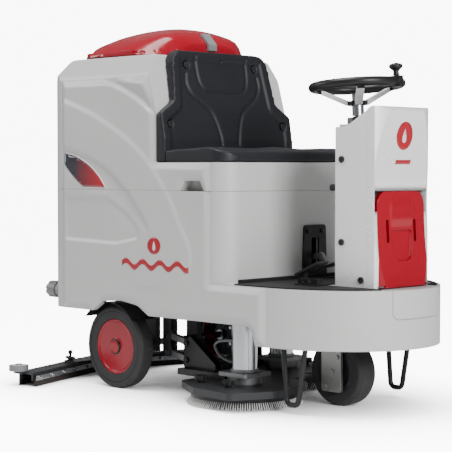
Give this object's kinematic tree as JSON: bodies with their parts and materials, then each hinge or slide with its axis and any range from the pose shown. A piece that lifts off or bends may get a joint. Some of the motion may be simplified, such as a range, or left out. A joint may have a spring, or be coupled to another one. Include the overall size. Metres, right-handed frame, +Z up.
{
  "type": "ride-on scrubber",
  "caption": "Battery ride-on floor scrubber with two disc brushes, a V-shaped squeegee, a tipping recovery tank under the seat and a steered drive wheel",
  "frame": {"origin": "on the floor, under the middle of the whole machine's bounding box", "axes": "+X to the front of the machine, +Y to the driver's left, +Z up"},
  "size_m": [1.6356, 1.072, 1.3167],
  "materials": {
    "body_plastic": "fine-grained rotomoulded polyethylene, light warm grey",
    "red_gloss": "glossy red moulding",
    "seat_vinyl": "charcoal integral-skin foam",
    "black_rubber": "ribbed black rubber",
    "tyre_rubber": "black polyurethane tyre",
    "amber_rubber": "brown gum rubber",
    "black_plastic": "satin black plastic",
    "grey_plastic": "mid grey plastic",
    "black_paint": "black powder coat",
    "dark_steel": "dark grey powder coat",
    "steel": "bright steel",
    "chrome": "chrome plate",
    "zinc": "zinc plate",
    "cast_grey": "cast aluminium"
  },
  "bodies": {
    "chassis": {"main_frame": "dark_steel", "lower_body": "body_plastic", "nose_patch": "body_plastic", "platform_mat": "black_rubber", "rear_axle": "steel", "pins_and_bearings": "steel", "steering_chain": "dark_steel", "column_panels": "black_paint", "column_rear_cover": "body_plastic", "column_front_shell": "body_plastic", "dashboard": "black_plastic", "shaft_boot": "black_rubber", "pedal_brackets": "black_paint", "machine_screws": "steel", "guard_hoops": "black_paint", "power_pack": "black_plastic"},
    "right_wheel": {"right_tyre": "tyre_rubber", "right_wheel_disc": "red_gloss"},
    "left_wheel": {"left_tyre": "tyre_rubber", "left_wheel_disc": "red_gloss"},
    "cover": {"front_cover": "red_gloss"},
    "stop_button": {"emergency_button": "red_gloss"},
    "key": {"ignition_key": "steel"},
    "water_valve": {"water_knob": "black_plastic"},
    "pedal": {"drive_pedal": "black_rubber"},
    "lever": {"lift_lever": "zinc"},
    "drain_plug": {"drain_cap": "grey_plastic"},
    "steering": {"steering_wheel": "black_plastic", "steering_hub": "chrome"},
    "spinner": {"spinner_knob": "black_plastic"},
    "steering_shaft": {"lower_steering_shaft": "steel"},
    "fork": {"drive_fork": "zinc"},
    "drive_wheel": {"drive_wheel_hub": "cast_grey", "drive_wheel_tyre": "tyre_rubber"},
    "lower_links": {"lower_arms": "zinc"},
    "upper_links": {"upper_arms": "zinc"},
    "deck": {"brush_deck": "dark_steel", "hanger_plates": "zinc", "brush_motors": "black_paint", "gearboxes": "cast_grey", "star_knobs": "black_plastic", "deck_conduit": "grey_plastic"},
    "right_scrub_brush": {"right_brush": "black_plastic"},
    "left_scrub_brush": {"left_brush": "black_plastic"},
    "squeegee_lift_arm": {"squeegee_arm": "dark_steel"},
    "squeegee": {"squeegee_body": "cast_grey", "squeegee_blades": "amber_rubber", "squeegee_strips": "steel", "squeegee_bridge": "black_paint"},
    "right_bumper": {"right_roller": "grey_plastic"},
    "left_bumper": {"left_roller": "grey_plastic"},
    "right_clamp": {"right_wing_knob": "black_plastic"},
    "left_clamp": {"left_wing_knob": "black_plastic"},
    "tank": {"recovery_tank": "body_plastic", "tank_internals": "black_plastic", "seat_cushion": "seat_vinyl", "backrest": "seat_vinyl", "backrest_bolts": "steel"},
    "lid": {"tank_lid": "red_gloss"},
    "latch": {"lid_latch": "grey_plastic"}
  },
  "joints": [
    {"name": "right_wheel_spin", "type": "hinge", "parent": "chassis", "child": "right_wheel", "pos_m": [-0.34722, -0.268, 0.1505], "axis": [0, 1, 0], "continuous": true},
    {"name": "left_wheel_spin", "type": "hinge", "parent": "chassis", "child": "left_wheel", "pos_m": [-0.34722, 0.268, 0.1505], "axis": [0, 1, 0], "continuous": true},
    {"name": "front_cover_hinge", "type": "hinge", "parent": "chassis", "child": "cover", "pos_m": [0.74978, 0, 0.421], "axis": [0, 1, 0], "range_deg": [0, 70]},
    {"name": "emergency_button_press", "type": "slide", "parent": "chassis", "child": "stop_button", "axis": [0, 0, -1], "range_m": [0, 0.005]},
    {"name": "ignition_key_turn", "type": "hinge", "parent": "chassis", "child": "key", "pos_m": [0.59278, -0.092, 0.945], "axis": [0, 0, 1], "range_deg": [0, 90]},
    {"name": "water_knob_turn", "type": "hinge", "parent": "chassis", "child": "water_valve", "pos_m": [0.55678, -0.126, 0.737], "axis": [1, 0, 0], "range_deg": [-135, 135]},
    {"name": "drive_pedal_press", "type": "hinge", "parent": "chassis", "child": "pedal", "pos_m": [0.46478, -0.179, 0.435], "axis": [0, 1, 0], "range_deg": [0, 12], "stiffness_Nm_per_rad": 3},
    {"name": "lift_lever_press", "type": "hinge", "parent": "chassis", "child": "lever", "pos_m": [0.22478, 0.11, 0.475], "axis": [0, 1, 0], "range_deg": [0, 12]},
    {"name": "drain_cap_turn", "type": "hinge", "parent": "chassis", "child": "drain_plug", "pos_m": [-0.71522, -0.27, 0.338], "axis": [1, 0, 0], "range_deg": [-180, 180]},
    {"name": "steering_wheel_turn", "type": "hinge", "parent": "chassis", "child": "steering", "pos_m": [0.54378, 0, 1.075], "axis": [-0.0698, 0, 0.9976], "range_deg": [-150, 150]},
    {"name": "spinner_knob_spin", "type": "hinge", "parent": "steering", "child": "spinner", "pos_m": [0.68462, 0.0293, 1.12595], "axis": [-0.0698, 0, 0.9976], "continuous": true},
    {"name": "steering_shaft_turn", "type": "hinge", "parent": "chassis", "child": "steering_shaft", "pos_m": [0.55742, 0, 0.6], "axis": [0, 0, 1], "range_deg": [-150, 150]},
    {"name": "fork_turn", "type": "hinge", "parent": "chassis", "child": "fork", "pos_m": [0.48878, 0, 0.27], "axis": [0, 0, 1], "range_deg": [-84, 84]},
    {"name": "drive_wheel_spin", "type": "hinge", "parent": "fork", "child": "drive_wheel", "pos_m": [0.48878, 0, 0.114], "axis": [0, 1, 0], "continuous": true},
    {"name": "lower_arms_lift", "type": "hinge", "parent": "chassis", "child": "lower_links", "pos_m": [-0.19122, 0, 0.136], "axis": [0, -1, 0], "range_deg": [0, 28]},
    {"name": "upper_arms_lift", "type": "hinge", "parent": "chassis", "child": "upper_links", "pos_m": [-0.19122, 0, 0.196], "axis": [0, -1, 0], "range_deg": [0, 28]},
    {"name": "deck_level", "type": "hinge", "parent": "lower_links", "child": "deck", "pos_m": [-0.08734, 0, 0.11487], "axis": [0, -1, 0], "range_deg": [-28, 0]},
    {"name": "right_brush_spin", "type": "hinge", "parent": "deck", "child": "right_scrub_brush", "pos_m": [0.21778, -0.2, 0.04], "axis": [0, 0, 1], "continuous": true},
    {"name": "left_brush_spin", "type": "hinge", "parent": "deck", "child": "left_scrub_brush", "pos_m": [0.02078, 0.2, 0.04], "axis": [0, 0, 1], "continuous": true},
    {"name": "squeegee_lift", "type": "hinge", "parent": "chassis", "child": "squeegee_lift_arm", "pos_m": [-0.53922, 0, 0.15], "axis": [0, 1, 0], "range_deg": [0, 15]},
    {"name": "squeegee_swing", "type": "hinge", "parent": "squeegee_lift_arm", "child": "squeegee", "pos_m": [-0.67722, 0, 0.09], "axis": [0, 0, 1], "range_deg": [-15, 15]},
    {"name": "right_roller_spin", "type": "hinge", "parent": "squeegee", "child": "right_bumper", "pos_m": [-0.64972, -0.5, 0.064], "axis": [0, 0, 1], "continuous": true},
    {"name": "left_roller_spin", "type": "hinge", "parent": "squeegee", "child": "left_bumper", "pos_m": [-0.64972, 0.5, 0.064], "axis": [0, 0, 1], "continuous": true},
    {"name": "right_wing_knob_turn", "type": "hinge", "parent": "squeegee", "child": "right_clamp", "pos_m": [-0.70519, -0.21, 0.075], "axis": [0, 0, 1], "range_deg": [-180, 180]},
    {"name": "left_wing_knob_turn", "type": "hinge", "parent": "squeegee", "child": "left_clamp", "pos_m": [-0.70519, 0.21, 0.075], "axis": [0, 0, 1], "range_deg": [-180, 180]},
    {"name": "tank_tilt", "type": "hinge", "parent": "chassis", "child": "tank", "pos_m": [-0.14722, 0.3425, 0.722], "axis": [-1, 0, 0], "range_deg": [0, 55]},
    {"name": "tank_lid_hinge", "type": "hinge", "parent": "tank", "child": "lid", "pos_m": [-0.58722, 0, 1.207], "axis": [0, -1, 0], "range_deg": [0, 80]},
    {"name": "lid_latch_swing", "type": "hinge", "parent": "lid", "child": "latch", "pos_m": [-0.18322, 0, 1.29], "axis": [0, -1, 0], "range_deg": [0, 60]}
  ],
  "couplings": [
    {"joint": "steering_shaft_turn", "follows": "steering_wheel_turn", "ratio": 1},
    {"joint": "fork_turn", "follows": "steering_wheel_turn", "ratio": 0.55556},
    {"joint": "upper_arms_lift", "follows": "lower_arms_lift", "ratio": 1},
    {"joint": "deck_level", "follows": "lower_arms_lift", "ratio": -1},
    {"joint": "lift_lever_press", "follows": "lower_arms_lift", "ratio": 0.42857}
  ]
}
